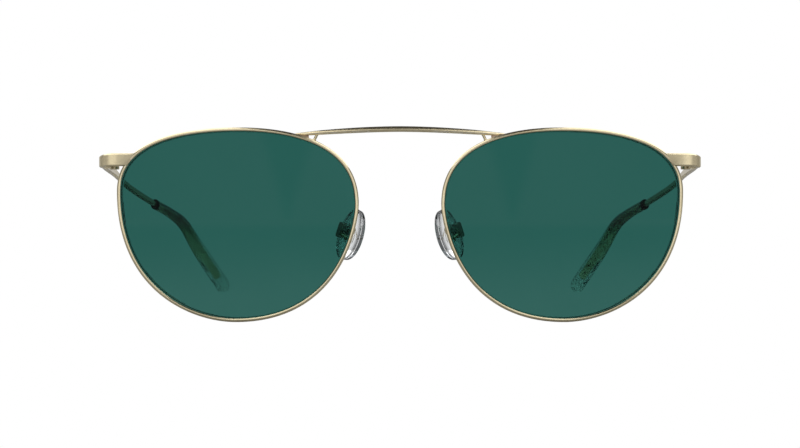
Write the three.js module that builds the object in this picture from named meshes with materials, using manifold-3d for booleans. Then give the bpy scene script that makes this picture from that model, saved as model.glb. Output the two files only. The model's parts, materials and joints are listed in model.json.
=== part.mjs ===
// Rounded pilot sunglasses with a thin metal frame, every piece a separate closed solid.
//
// Units are millimetres. The glasses stand open on Z = 0, on the bottoms of both rims and
// both temple tips. +X is the wearer's left, +Y runs back towards the ears and +Z is up.
// One side is drawn once, as the wearer's left, and the right side is its mirror image.
// Y = 0 runs through the middle of the lens thickness at both lens centres.

import * as THREE from "three";
import { mergeVertices } from "three/addons/utils/BufferGeometryUtils.js";
import Module from "manifold-3d";

const wasm = await Module();
wasm.setup();

// ---------------------------------------------------------------- driving dimensions

const DEGREE = Math.PI / 180;

// Gap between pieces that touch, and the play of pieces that turn.
const FIT = 0.03;
const PLAY = 0.06;

const BAR_CHAMFER = 0.32; // along the edges of the end pieces and the temples

// The lens opening, seen square on from its own centre: temporal is outwards, nasal inwards.
// Each corner of the outline is level or upright there, and its handles say how full the
// curve is on both sides of it.
const OPENING = {
  temporal: { u: 27.45, v: 7.6, handleUp: 11.3, handleDown: 23 },
  top: { u: -0.1, v: 21.2, handleOut: 12, handleIn: 11.4 },
  nasal: { u: -26.8, v: 4.5, handleUp: 14, handleDown: 3.7 },
  bottom: { u: 0.7, v: -21.72, handleOut: 9.4, handleIn: 24.5 },
};
const OUTLINE_POINTS = 54;

const LENS_RADIUS = 125; // base-4 curve
const LENS_THICKNESS = 1.8;
const LENS_CENTRE_X = 37.4;
const LENS_CENTRE_Z = 22.6;
const WRAP = 4 * DEGREE; // each lens is turned back this much at its temporal side

const RIM_WIDTH = 0.85; // across, seen from the front
const RIM_DEPTH = 1.9; // front to back
const GROOVE_DEPTH = 0.42;
const GROOVE_HALF = 0.4;
const RIM_CHAMFER = 0.22; // along its outer edges
const RIM_INNER_CHAMFER = 0.15;
const RIM_SLIT = 0.1; // the rim is cut here, so that its screw can close it on the lens

// The end piece is a flat bar from the rim round the corner to the hinge.
const BAR_THICKNESS = 1.1;
const BAR_HEIGHT = 3;
const BAR_Z = 37.35;
const BAR_FRONT_Y = 4.5; // middle of the bar's thickness
const BAR_START = { x: 61.2, y: 4.85 }; // its end inside the rim's seat
const TEMPLE_X = 69.45;
const CORNER_RADIUS = 2.9;
const TEMPLE_FRONT_Y = 10.3;
const TEMPLE_HEIGHT = 2.8; // at the hinge, where the temple is tallest
const END_PIECE_DROP = 0.5; // how much lower the bar's middle is behind the corner than in front

// The hinge: three knuckles on an upright screw.
const HINGE_X = 66.9;
const HINGE_Y = 11.2;
const HINGE_BOTTOM_Z = 35.05;
const KNUCKLE_RADIUS = 1.15;
const KNUCKLE_HEIGHTS = [0.85, 0.95, 0.85];
const LEAF_THICKNESS = 1.6;
const LEAF_LENGTH = 2.7;
const HINGE_SCREW_RADIUS = 0.55;

// The temple runs straight, bows inwards, and turns down behind the ear.
const TEMPLE_ROUTE = [
  [TEMPLE_X, TEMPLE_FRONT_Y, 36.8],
  [69.35, 30, 34.5],
  [68, 52, 30.5],
  [64.3, 75, 26.1],
  [61.3, 94, 22.85],
  [59.1, 108, 19.5],
  [56.1, 121, 12.3],
  [49.8, 136.8, 0.4],
];
const TEMPLE_WIDTH = 1.15;
const WIRE_HEIGHT = 1.5;
const PADDLE_END = 34; // distance from the hinge at which the temple is down to its wire
const MOUTH = 69.2; // distance from the hinge to the front of the temple tip
const CORE_RADIUS = 0.72;
const CORE_SHORT_OF_END = 7;
const TIP_RADIUS_FRONT = 1.3;
const TIP_RADIUS_END = 2.25;
const TIP_FLATNESS = 0.78; // width of the tip over its height
const TIP_FACET_DEPTH = 0.12; // how far the ear-rest facet is ground into the tip
const COLLAR_LENGTH = 1.15;
const COLLAR_RADIUS = 1.35;

// The bridge is one bar, soldered at both ends to the tops of the rims.
const BRIDGE_ROUTE = [
  { x: 0, y: 0.9, z: 44.4, half: 0.66 },
  { x: 7, y: 1, z: 44.25, half: 0.65 },
  { x: 13, y: 1.2, z: 43.95, half: 0.61 },
  { x: 18.3, y: 1.4, z: 43.6, half: 0.52 },
  { x: 21.3, y: 1.5, z: 43.35, half: 0.42 },
  { x: 24.1, y: 1.54, z: 43.2, half: 0.24 },
];
const BRIDGE_DEPTH_RATIO = 1.25;

// A short strut stands between each end of the bar and the rim below it.
const STRUT_RADIUS = 0.33;
const STRUT_ENDS = [
  [18.85, 1.42, 43.7],
  [19.9, 1.52, 41.5],
];

// Nose pads. The pad frame has its origin on the pad screw's axis: x points away from the
// nose, y along the screw and z up the pad.
const PAD_SCREW = new THREE.Vector3(13.4, 7.6, 20.9);
const PAD_SPLAY = 32 * DEGREE; // how much the pads open towards the face
const PAD_TILT = 18 * DEGREE; // how much their tops lean together
const PAD_LENGTH = 12.4;
const PAD_WIDTH = 8.4;
const PAD_CENTRE_DROP = 0.4; // the pad's middle below its screw
const PAD_BACK = 1.3; // from the screw's axis to the mounting side
const PAD_THICKNESS = 3.1;
const BOX = { open: -0.45, depth: 1.45, width: 1.8, height: 3.6, wall: 0.28 }; // open: x of its mouth
const PAD_SCREW_RADIUS = 0.3;
const PAD_BOSS = { end: 0.58, halfWidth: 0.54, halfHeight: 0.75 };
const PAD_PLATE = { halfWidth: 1.3, bottom: -2.4, top: 2 }; // the insert's plate, inside the pad
const PAD_WIRE_RADIUS = 0.45;

// The pad's section: heights above its mounting side, each with its share of the full outline.
const PAD_LEVELS = [
  { height: 0, share: 0.72 },
  { height: 0.25, share: 0.9 },
  { height: 0.9, share: 1 },
  { height: 1.7, share: 0.97 },
  { height: 2.35, share: 0.84 },
  { height: PAD_THICKNESS, share: 0.55 },
];

// The pad arm's goose neck, from the back of the rim to just short of the box, and the place
// on the side of the box, in the pad frame, where it ends.
const PAD_ARM_ROUTE = [
  [10.6, 1.2, 22.6],
  [10.75, 3, 22.3],
  [10.9, 4.5, 20.6],
  [12.3, 5.1, 19.2],
];
const PAD_ARM_END = { x: 0.3, z: -1 };

// The rim lock: two blocks behind the end piece and the screw that draws them together.
const LOCK = { x: 64.3, y: 6.35, width: 2.3, depth: 2.1, height: 0.82 };
const LOCK_SCREW_RADIUS = 0.4;

// ---------------------------------------------------------------- materials

const GOLD = new THREE.MeshStandardMaterial({ color: 0xd2c295, roughness: 0.32, metalness: 1 });
const GREEN_LENS = new THREE.MeshStandardMaterial({ color: 0x1f5c52, roughness: 0.05, metalness: 0 });
const SILICONE = new THREE.MeshStandardMaterial({ color: 0xdfe3e3, roughness: 0.2, metalness: 0 });
const ACETATE = new THREE.MeshStandardMaterial({ color: 0xc9d3cf, roughness: 0.12, metalness: 0 });
const DARK_RUBBER = new THREE.MeshStandardMaterial({ color: 0x14171a, roughness: 0.55, metalness: 0 });
const STEEL = new THREE.MeshStandardMaterial({ color: 0xb9b6aa, roughness: 0.3, metalness: 1 });

// ---------------------------------------------------------------- solid modelling helpers

// Splits the flat polygon of a ring into triangles that run the same way round as the ring.
function capTriangles(ring) {
  const normal = new THREE.Vector3();
  ring.forEach((point, i) => {
    const next = ring[(i + 1) % ring.length];
    normal.add(new THREE.Vector3().crossVectors(point, next));
  });
  normal.normalize();
  const across = new THREE.Vector3().subVectors(ring[1], ring[0]).normalize();
  const up = new THREE.Vector3().crossVectors(normal, across);
  const flat = ring.map((point) => new THREE.Vector2(point.dot(across), point.dot(up)));
  return THREE.ShapeUtils.triangulateShape(flat, []).map(([a, b, c]) => {
    const turn = flat[b].clone().sub(flat[a]).cross(flat[c].clone().sub(flat[a]));
    return turn > 0 ? [a, b, c] : [a, c, b];
  });
}

// Six times the signed volume of an indexed mesh, negative when its faces point inwards.
function signedVolume(points, triangles) {
  return triangles.reduce((sum, [a, b, c]) => {
    const cross = new THREE.Vector3().crossVectors(points[b], points[c]);
    return sum + points[a].dot(cross);
  }, 0);
}

// A closed solid through a row of rings that have equal numbers of points. A looped loft
// joins its last ring to its first, and any other is capped at both ends.
function loft(rings, looped = false) {
  const count = rings[0].length;
  const points = rings.flat();
  const triangles = [];
  const spans = looped ? rings.length : rings.length - 1;
  for (let i = 0; i < spans; i++) {
    const here = i * count;
    const next = ((i + 1) % rings.length) * count;
    for (let j = 0; j < count; j++) {
      const k = (j + 1) % count;
      triangles.push([here + j, next + j, next + k]);
      triangles.push([here + j, next + k, here + k]);
    }
  }
  if (!looped) {
    const last = (rings.length - 1) * count;
    capTriangles(rings[0]).forEach(([a, b, c]) => triangles.push([a, b, c]));
    capTriangles(rings.at(-1)).forEach(([a, b, c]) => triangles.push([last + a, last + c, last + b]));
  }
  const outwards = signedVolume(points, triangles) > 0;
  const index = triangles.flatMap(([a, b, c]) => (outwards ? [a, b, c] : [a, c, b]));
  const geometry = new THREE.BufferGeometry().setFromPoints(points);
  geometry.setIndex(index);
  geometry.computeVertexNormals();
  return geometry;
}

// A closed three.js geometry as a manifold-3d solid.
function toSolid(geometry) {
  const bare = geometry.clone();
  bare.deleteAttribute("normal");
  bare.deleteAttribute("uv");
  const merged = mergeVertices(bare, 1e-4);
  return new wasm.Manifold(
    new wasm.Mesh({
      numProp: 3,
      vertProperties: merged.attributes.position.array,
      triVerts: new Uint32Array(merged.index.array),
    }),
  );
}

// The largest body of a manifold-3d solid, as a three.js geometry.
function toGeometry(solid) {
  const bodies = solid.decompose().sort((a, b) => b.volume() - a.volume());
  const mesh = bodies[0].getMesh();
  const geometry = new THREE.BufferGeometry();
  geometry.setAttribute("position", new THREE.BufferAttribute(mesh.vertProperties, 3));
  geometry.setIndex(new THREE.BufferAttribute(mesh.triVerts, 1));
  geometry.computeVertexNormals();
  return geometry;
}

function cut(geometry, ...cutters) {
  const left = cutters.reduce((solid, cutter) => solid.subtract(toSolid(cutter)), toSolid(geometry));
  return toGeometry(left);
}

function join(...geometries) {
  const whole = geometries.map(toSolid).reduce((solid, other) => solid.add(other));
  return toGeometry(whole);
}

function boxBetween(low, high) {
  const size = high.map((value, i) => value - low[i]);
  const middle = high.map((value, i) => (value + low[i]) / 2);
  return new THREE.BoxGeometry(...size).translate(...middle);
}

// An upright cylinder that stands on z = low.
function post(radius, low, high, sides = 20) {
  const geometry = new THREE.CylinderGeometry(radius, radius, high - low, sides);
  return geometry.rotateX(Math.PI / 2).translate(0, 0, (low + high) / 2);
}

// Evenly spaced values from start to end, both included.
function spaced(start, end, count) {
  return Array.from({ length: count }, (_, i) => start + ((end - start) * i) / (count - 1));
}

function chamferedRectangle(width, height, chamfer) {
  const x = width / 2;
  const y = height / 2;
  return [
    [x, -y + chamfer],
    [x, y - chamfer],
    [x - chamfer, y],
    [-x + chamfer, y],
    [-x, y - chamfer],
    [-x, -y + chamfer],
    [-x + chamfer, -y],
    [x - chamfer, -y],
  ];
}

function ellipse(halfWidth, halfHeight, sides) {
  return Array.from({ length: sides }, (_, i) => {
    const angle = (2 * Math.PI * (i + 0.5)) / sides;
    return [halfWidth * Math.cos(angle), halfHeight * Math.sin(angle)];
  });
}

// A 2-D section set up at a point, with its first axis sideways and its second upwards.
function placeSection(section, point, sideways, upwards) {
  return section.map(([a, b]) => point.clone().addScaledVector(sideways, a).addScaledVector(upwards, b));
}

// A round wire along a curve.
function wire(points, radius, segments) {
  const extrudePath = new THREE.CatmullRomCurve3(points);
  const circle = new THREE.Shape(ellipse(radius, radius, 10).map(([a, b]) => new THREE.Vector2(a, b)));
  return new THREE.ExtrudeGeometry(circle, { steps: segments, extrudePath });
}

// A slotted screw along +z with the underside of its head at z = 0.
function screw(shaftRadius, shaftLength, headRadius, headHeight) {
  const profile = [
    [0, -shaftLength],
    [shaftRadius * 0.7, -shaftLength],
    [shaftRadius, -shaftLength + shaftRadius * 0.3],
    [shaftRadius, 0],
    [headRadius, 0],
    [headRadius, headHeight * 0.6],
    [headRadius * 0.8, headHeight],
    [0, headHeight],
  ].map(([radius, height]) => new THREE.Vector2(radius, height));
  const body = new THREE.LatheGeometry(profile, 16).rotateX(Math.PI / 2);
  const slotHalf = headRadius * 0.16;
  const slot = boxBetween(
    [-headRadius * 1.2, -slotHalf, headHeight * 0.5],
    [headRadius * 1.2, slotHalf, headHeight * 1.5],
  );
  return cut(body, slot);
}

function namedMesh(name, geometry, material) {
  const mesh = new THREE.Mesh(geometry, material);
  mesh.name = name;
  return mesh;
}

// ---------------------------------------------------------------- temple curve

const templeCurve = new THREE.CatmullRomCurve3(TEMPLE_ROUTE.map((point) => new THREE.Vector3(...point)));
templeCurve.arcLengthDivisions = 800;
const TEMPLE_LENGTH = templeCurve.getLength();

// The place and directions of the temple at a distance from its front end. The sections
// stay upright: they lean only with the slope of the curve.
function templeFrame(distance) {
  const fraction = THREE.MathUtils.clamp(distance / TEMPLE_LENGTH, 0, 1);
  const along = templeCurve.getTangentAt(fraction);
  const outwards = new THREE.Vector3().crossVectors(along, new THREE.Vector3(0, 0, 1)).normalize();
  const upwards = new THREE.Vector3().crossVectors(outwards, along);
  const overrun = distance - fraction * TEMPLE_LENGTH;
  const point = templeCurve.getPointAt(fraction).addScaledVector(along, overrun);
  return { point, along, outwards, upwards };
}

// ---------------------------------------------------------------- lens and rim

// The inner edge of the rim, in the lens's own plane.
function openingOutline() {
  const { temporal, top, nasal, bottom } = OPENING;
  const path = new THREE.Path();
  path.moveTo(temporal.u, temporal.v);
  path.bezierCurveTo(
    temporal.u, temporal.v + temporal.handleUp, top.u + top.handleOut, top.v, top.u, top.v,
  );
  path.bezierCurveTo(top.u - top.handleIn, top.v, nasal.u, nasal.v + nasal.handleUp, nasal.u, nasal.v);
  path.bezierCurveTo(
    nasal.u, nasal.v - nasal.handleDown, bottom.u - bottom.handleIn, bottom.v, bottom.u, bottom.v,
  );
  path.bezierCurveTo(
    bottom.u + bottom.handleOut, bottom.v,
    temporal.u, temporal.v - temporal.handleDown,
    temporal.u, temporal.v,
  );
  return path;
}

const lensPlacing = new THREE.Matrix4().makeRotationZ(WRAP).setPosition(LENS_CENTRE_X, 0, LENS_CENTRE_Z);

// The point of the lens curve at (u, v), moved by depth towards the face. The result is in
// the frame of the glasses.
function onLensCurve(u, v, depth) {
  const drop = Math.sqrt(LENS_RADIUS ** 2 - u ** 2 - v ** 2);
  const towardsFace = new THREE.Vector3(-u, drop, -v).divideScalar(LENS_RADIUS);
  const point = new THREE.Vector3(u, LENS_RADIUS - drop, v).addScaledVector(towardsFace, depth);
  return point.applyMatrix4(lensPlacing);
}

// Where the rim is slit: the fraction of the outline at the height of the end piece.
function slitFraction(path) {
  const height = BAR_Z - LENS_CENTRE_Z;
  let fraction = 0;
  while (path.getPointAt(fraction).y < height) fraction += 0.0005;
  return fraction;
}

// Points of the outline with the direction square to it, from one side of the slit round to
// the other.
function outlineStations() {
  const path = openingOutline();
  const halfSlit = RIM_SLIT / 2 / path.getLength();
  const slit = slitFraction(path);
  return spaced(slit + halfSlit, slit + 1 - halfSlit, OUTLINE_POINTS + 1).map((fraction) => {
    const point = path.getPointAt(fraction % 1);
    const tangent = path.getTangentAt(fraction % 1);
    return { point, outwards: new THREE.Vector2(tangent.y, -tangent.x) };
  });
}

// A section of [distance outwards, depth] pairs carried round the outline.
function rimRing(station, section) {
  const { point, outwards } = station;
  return section.map(([out, depth]) =>
    onLensCurve(point.x + out * outwards.x, point.y + out * outwards.y, depth),
  );
}

function rimGeometry() {
  const back = RIM_DEPTH / 2;
  const section = [
    [0, GROOVE_HALF],
    [GROOVE_DEPTH, 0],
    [0, -GROOVE_HALF],
    [0, -back + RIM_INNER_CHAMFER],
    [RIM_INNER_CHAMFER, -back],
    [RIM_WIDTH - RIM_CHAMFER, -back],
    [RIM_WIDTH, -back + RIM_CHAMFER],
    [RIM_WIDTH, back - RIM_CHAMFER],
    [RIM_WIDTH - RIM_CHAMFER, back],
    [RIM_INNER_CHAMFER, back],
    [0, back - RIM_INNER_CHAMFER],
  ];
  return loft(outlineStations().map((station) => rimRing(station, section)));
}

function lowestPoint(geometry) {
  geometry.computeBoundingBox();
  return geometry.boundingBox.min.z;
}

// The surface that the glasses stand on touches the lowest points of the rims.
const STANDING_Z = lowestPoint(rimGeometry());

// A rim without groove or slit, grown by FIT, that cuts a seat for whatever is soldered on.
function rimSeatCutter() {
  const back = RIM_DEPTH / 2 + FIT;
  const section = [
    [-0.5, -back],
    [RIM_WIDTH - 0.2, -back],
    [RIM_WIDTH + FIT, -back + 0.2],
    [RIM_WIDTH + FIT, back - 0.2],
    [RIM_WIDTH - 0.2, back],
    [-0.5, back],
  ];
  return loft(outlineStations().map((station) => rimRing(station, section)), true);
}

function lensGeometry() {
  const half = LENS_THICKNESS / 2;
  const clear = -PLAY;
  const stations = outlineStations();
  const scaledRing = (scale, depth) =>
    stations.map(({ point }) => onLensCurve(point.x * scale, point.y * scale, depth));
  const edgeRing = (out, depth) => stations.map((station) => rimRing(station, [[out, depth]])[0]);
  const scales = [0.12, 0.4, 0.7, 0.9];
  const bevel = GROOVE_HALF - PLAY;
  return loft([
    ...scales.map((scale) => scaledRing(scale, -half)),
    edgeRing(clear, -half),
    edgeRing(clear, -bevel),
    edgeRing(GROOVE_DEPTH - 2 * PLAY, 0),
    edgeRing(clear, bevel),
    edgeRing(clear, half),
    ...scales.toReversed().map((scale) => scaledRing(scale, half)),
  ]);
}

// ---------------------------------------------------------------- end piece and rim lock

// The bar's middle line, with its height and the direction that its face looks in.
function endPieceStations() {
  const cornerX = TEMPLE_X - CORNER_RADIUS;
  const cornerY = BAR_FRONT_Y + CORNER_RADIUS;
  const stations = [{ ...BAR_START, facing: 0 }];
  stations.push({ x: cornerX - 1.2, y: BAR_FRONT_Y, facing: 0 });
  for (let step = 0; step <= 8; step++) {
    const facing = (step / 8) * 90 * DEGREE;
    stations.push({
      x: cornerX + CORNER_RADIUS * Math.sin(facing),
      y: cornerY - CORNER_RADIUS * Math.cos(facing),
      facing,
    });
  }
  return stations.map((station) => {
    const turned = THREE.MathUtils.smoothstep(station.facing, 0, 90 * DEGREE);
    return {
      ...station,
      z: BAR_Z - END_PIECE_DROP * turned,
      height: THREE.MathUtils.lerp(BAR_HEIGHT, TEMPLE_HEIGHT, turned),
    };
  });
}

function endPieceGeometry(seat) {
  const upwards = new THREE.Vector3(0, 0, 1);
  const rings = endPieceStations().map(({ x, y, z, facing, height }) => {
    const outwards = new THREE.Vector3(Math.sin(facing), -Math.cos(facing), 0);
    return placeSection(
      chamferedRectangle(BAR_THICKNESS, height, BAR_CHAMFER), new THREE.Vector3(x, y, z), outwards, upwards,
    );
  });
  const end = templeFrame(-2 * PLAY);
  const endSection = chamferedRectangle(BAR_THICKNESS, TEMPLE_HEIGHT, BAR_CHAMFER);
  rings.push(placeSection(endSection, end.point, end.outwards, end.upwards));
  return cut(loft(rings), seat, lockCutter());
}

// Keeps the lower end of the rim and the lower block free of the end piece.
function lockCutter() {
  const { x, width } = LOCK;
  const y = BAR_FRONT_Y + BAR_THICKNESS / 2;
  return boxBetween([x - width, y - 0.12, BAR_Z - 5], [x + width / 2 + PLAY, y + 5, BAR_Z + 5]);
}

function lockBlockGeometry(seat, low, high) {
  const { x, y, width, depth } = LOCK;
  const block = boxBetween([x - width / 2 - 0.6, y - depth / 2, low], [x + width / 2, y + depth / 2, high]);
  const bore = post(LOCK_SCREW_RADIUS + PLAY, low - 1, high + 1).translate(x, y, 0);
  return cut(block, seat, bore);
}

function makeRimLock(side, seat) {
  const split = RIM_SLIT / 2;
  const upperTop = BAR_Z + split + LOCK.height;
  const upper = lockBlockGeometry(seat, BAR_Z + split, upperTop);
  const lower = lockBlockGeometry(seat, BAR_Z - split - LOCK.height - 0.3, BAR_Z - split);
  const lockScrew = namedMesh(
    `${side}_rim_lock_screw`, screw(LOCK_SCREW_RADIUS, LOCK.height * 2 + 0.2, 0.72, 0.35), STEEL,
  );
  lockScrew.position.set(LOCK.x, LOCK.y, upperTop + FIT);
  return [
    namedMesh(`${side}_rim_lock_upper_block`, upper, GOLD),
    namedMesh(`${side}_rim_lock_lower_block`, lower, GOLD),
    lockScrew,
  ];
}

// ---------------------------------------------------------------- hinge

// Bottoms and tops of the three knuckles, from below.
function knuckleLevels() {
  let low = HINGE_BOTTOM_Z;
  return KNUCKLE_HEIGHTS.map((height) => {
    const level = { low, high: low + height };
    low += height + PLAY;
    return level;
  });
}

const HINGE_TOP_Z = knuckleLevels().at(-1).high;

// A leaf on the inside of the bar, with the knuckles that it carries. Its origin is on the
// hinge axis. `back` is 1 for the temple's leaf and -1 for the end piece's.
function hingeLeafGeometry(knuckles, back, clearKnuckles) {
  const wall = TEMPLE_X - BAR_THICKNESS / 2 - FIT - HINGE_X;
  const near = KNUCKLE_RADIUS + PLAY;
  const far = near + LEAF_LENGTH;
  const [front, rear] = back > 0 ? [near, far] : [-far, -near];
  let leaf = boxBetween(
    [wall - LEAF_THICKNESS, front, HINGE_BOTTOM_Z + 0.25],
    [wall, rear, HINGE_TOP_Z - 0.25],
  );
  for (const { low, high } of knuckles) {
    const neckEnd = back * (near + 0.3);
    const neck = boxBetween(
      [wall - LEAF_THICKNESS, Math.min(0, neckEnd), Math.max(low, HINGE_BOTTOM_Z + 0.25)],
      [Math.min(wall, KNUCKLE_RADIUS), Math.max(0, neckEnd), Math.min(high, HINGE_TOP_Z - 0.25)],
    );
    leaf = join(leaf, neck, post(KNUCKLE_RADIUS, low, high, 24));
  }
  const bore = post(HINGE_SCREW_RADIUS + PLAY, HINGE_BOTTOM_Z - 1, HINGE_TOP_Z + 1);
  const clearance = clearKnuckles.map(({ low, high }) =>
    post(KNUCKLE_RADIUS + PLAY, low - PLAY * 0.9, high + PLAY * 0.9, 24),
  );
  return cut(leaf, bore, ...clearance);
}

function makeHinge(side) {
  const [lower, middle, upper] = knuckleLevels();
  const frontLeaf = namedMesh(
    `${side}_hinge_front_leaf`, hingeLeafGeometry([lower, upper], -1, [middle]), GOLD,
  );
  const templeLeaf = namedMesh(
    `${side}_hinge_temple_leaf`, hingeLeafGeometry([middle], 1, [lower, upper]), GOLD,
  );
  const hingeScrew = namedMesh(
    `${side}_hinge_screw`, screw(HINGE_SCREW_RADIUS, HINGE_TOP_Z - HINGE_BOTTOM_Z, 0.9, 0.4), STEEL,
  );
  for (const piece of [frontLeaf, templeLeaf]) piece.position.set(HINGE_X, HINGE_Y, 0);
  hingeScrew.position.set(HINGE_X, HINGE_Y, HINGE_TOP_Z + FIT);
  return [frontLeaf, templeLeaf, hingeScrew];
}

// ---------------------------------------------------------------- temple

// A section placed square to the temple at a distance from its front end.
function templeRing(distance, section) {
  const { point, outwards, upwards } = templeFrame(distance);
  return placeSection(section, point, outwards, upwards);
}

function templeArmGeometry() {
  const barRings = spaced(0, MOUTH, 16).map((distance) => {
    const slender = THREE.MathUtils.smoothstep(distance, 3, PADDLE_END);
    const height = THREE.MathUtils.lerp(TEMPLE_HEIGHT, WIRE_HEIGHT, slender);
    return templeRing(distance, chamferedRectangle(TEMPLE_WIDTH, height, BAR_CHAMFER));
  });
  const coreRings = spaced(MOUTH + 1, TEMPLE_LENGTH - CORE_SHORT_OF_END, 18).map((distance) =>
    templeRing(distance, ellipse(CORE_RADIUS, CORE_RADIUS, 8)),
  );
  return loft([...barRings, ...coreRings]);
}

// How thick the tip is at a distance along the temple: it swells towards its rounded end.
function tipRadius(distance) {
  const along = (distance - MOUTH) / (TEMPLE_LENGTH - MOUTH);
  const swell = THREE.MathUtils.smoothstep(along, 0.1, 0.85);
  const radius = THREE.MathUtils.lerp(TIP_RADIUS_FRONT, TIP_RADIUS_END, swell);
  const fromEnd = Math.max(TEMPLE_LENGTH + 0.001 - distance, 0);
  const roundedEnd = Math.min(fromEnd / TIP_RADIUS_END, 1);
  return radius * Math.max(Math.sqrt(1 - (1 - roundedEnd) ** 2), 0.12);
}

function tipGeometry() {
  const bodyDistances = spaced(MOUTH, TEMPLE_LENGTH - TIP_RADIUS_END, 18);
  const endDistances = [0.7, 0.4, 0.18, 0.05, 0].map((share) => TEMPLE_LENGTH - share * TIP_RADIUS_END);
  const rings = [...bodyDistances, ...endDistances].map((distance) => {
    const radius = tipRadius(distance);
    return templeRing(distance, ellipse(radius * TIP_FLATNESS, radius, 12));
  });
  const bore = loft(
    spaced(MOUTH - 1, TEMPLE_LENGTH - CORE_SHORT_OF_END + PLAY, 20).map((distance) =>
      templeRing(distance, ellipse(CORE_RADIUS + PLAY, CORE_RADIUS + PLAY, 8)),
    ),
  );
  const pocketSection = chamferedRectangle(TEMPLE_WIDTH + 2 * PLAY, WIRE_HEIGHT + 2 * PLAY, BAR_CHAMFER);
  const mouthPocket = loft([MOUTH - 1, MOUTH + 1.2].map((distance) => templeRing(distance, pocketSection)));
  return cut(loft(rings), bore, mouthPocket, ...tipFacetCutters());
}

// Two flats on the tip: the inside of the ear rest, and the foot that stands on the table.
function tipFacetCutters() {
  const distance = TEMPLE_LENGTH - 14;
  const { point, along, outwards, upwards } = templeFrame(distance);
  const basis = new THREE.Matrix4().makeBasis(outwards, along, upwards).setPosition(point);
  const inside = tipRadius(distance) * TIP_FLATNESS - TIP_FACET_DEPTH;
  const earRest = boxBetween([-inside - 5, -4, -4], [-inside, 4, 4]).applyMatrix4(basis);
  const tip = templeFrame(TEMPLE_LENGTH).point;
  const table = boxBetween([tip.x - 20, tip.y - 20, STANDING_Z - 10], [tip.x + 20, tip.y + 20, STANDING_Z]);
  return [earRest, table];
}

function collarGeometry() {
  const ring = (distance, radius) => templeRing(distance, ellipse(radius * 0.85, radius, 16));
  const start = MOUTH - COLLAR_LENGTH - FIT;
  const end = MOUTH - FIT;
  const body = loft([
    ring(start, COLLAR_RADIUS * 0.85),
    ring(start + 0.3, COLLAR_RADIUS),
    ring(end, COLLAR_RADIUS),
  ]);
  const holeSection = chamferedRectangle(TEMPLE_WIDTH + PLAY, WIRE_HEIGHT + PLAY, BAR_CHAMFER);
  const hole = loft([start - 1, end + 1].map((distance) => templeRing(distance, holeSection)));
  return cut(body, hole);
}

function makeTemple(side) {
  return [
    namedMesh(`${side}_temple_arm`, templeArmGeometry(), GOLD),
    namedMesh(`${side}_tip_collar`, collarGeometry(), DARK_RUBBER),
    namedMesh(`${side}_temple_tip`, tipGeometry(), ACETATE),
  ];
}

// ---------------------------------------------------------------- bridge

function bridgeGeometry(grow) {
  const half = BRIDGE_ROUTE.toReversed().map((station) => ({ ...station, x: -station.x }));
  const whole = [...half, ...BRIDGE_ROUTE.slice(1)];
  const route = new THREE.CatmullRomCurve3(whole.map(({ x, y, z }) => new THREE.Vector3(x, y, z)));
  const thickness = new THREE.SplineCurve(whole.map(({ x, half: value }) => new THREE.Vector2(x, value)));
  const rings = spaced(0, 1, 25).map((fraction) => {
    const upright = thickness.getPoint(fraction).y + grow;
    const section = ellipse(upright * BRIDGE_DEPTH_RATIO, upright, 12);
    return placeSection(
      section, route.getPoint(fraction), new THREE.Vector3(0, 1, 0), new THREE.Vector3(0, 0, 1),
    );
  });
  return loft(rings);
}

function strutGeometry(seat) {
  const ends = STRUT_ENDS.map((point) => new THREE.Vector3(...point));
  return cut(wire(ends, STRUT_RADIUS, 1), seat, bridgeGeometry(FIT));
}

// ---------------------------------------------------------------- nose pads

// The pad's outline is a rounded drop, a little narrower at the top.
function padOutline(scale) {
  return Array.from({ length: 24 }, (_, i) => {
    const angle = (2 * Math.PI * i) / 24;
    const up = Math.sin(angle);
    const width = PAD_WIDTH * (1 - 0.1 * up);
    return [(scale * width * Math.cos(angle)) / 2, (scale * PAD_LENGTH * up) / 2 - PAD_CENTRE_DROP];
  });
}

function padGeometry() {
  const rings = PAD_LEVELS.map(({ height, share }) =>
    padOutline(share).map(([across, up]) => new THREE.Vector3(-PAD_BACK - height, across, up)),
  );
  return cut(loft(rings), padInsertSolid(FIT));
}

// The metal insert: a plate inside the pad and a boss that reaches into the box.
function padInsertSolid(grow) {
  const plate = boxBetween(
    [-PAD_BACK - 1.5 - grow, -PAD_PLATE.halfWidth - grow, PAD_PLATE.bottom - grow],
    [-PAD_BACK - 0.9 + grow, PAD_PLATE.halfWidth + grow, PAD_PLATE.top + grow],
  );
  const { end, halfWidth, halfHeight } = PAD_BOSS;
  const boss = boxBetween(
    [-PAD_BACK - 1.2, -halfWidth - grow, -halfHeight - grow],
    [end + grow, halfWidth + grow, halfHeight + grow],
  );
  return join(plate, boss);
}

function makeNosePad(side) {
  const insertBore = post(PAD_SCREW_RADIUS + PLAY, -3, 3, 16).rotateX(Math.PI / 2);
  return [
    namedMesh(`${side}_nose_pad`, padGeometry(), SILICONE),
    namedMesh(`${side}_pad_insert`, cut(padInsertSolid(0), insertBore), STEEL),
  ];
}

// The box is a small cup, open towards the pad, with the screw across it.
function padBoxSolid(grow) {
  const { open, depth, width, height } = BOX;
  return boxBetween(
    [open - grow, -width / 2 - grow, -height / 2 - grow],
    [open + depth + grow, width / 2 + grow, height / 2 + grow],
  );
}

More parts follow.
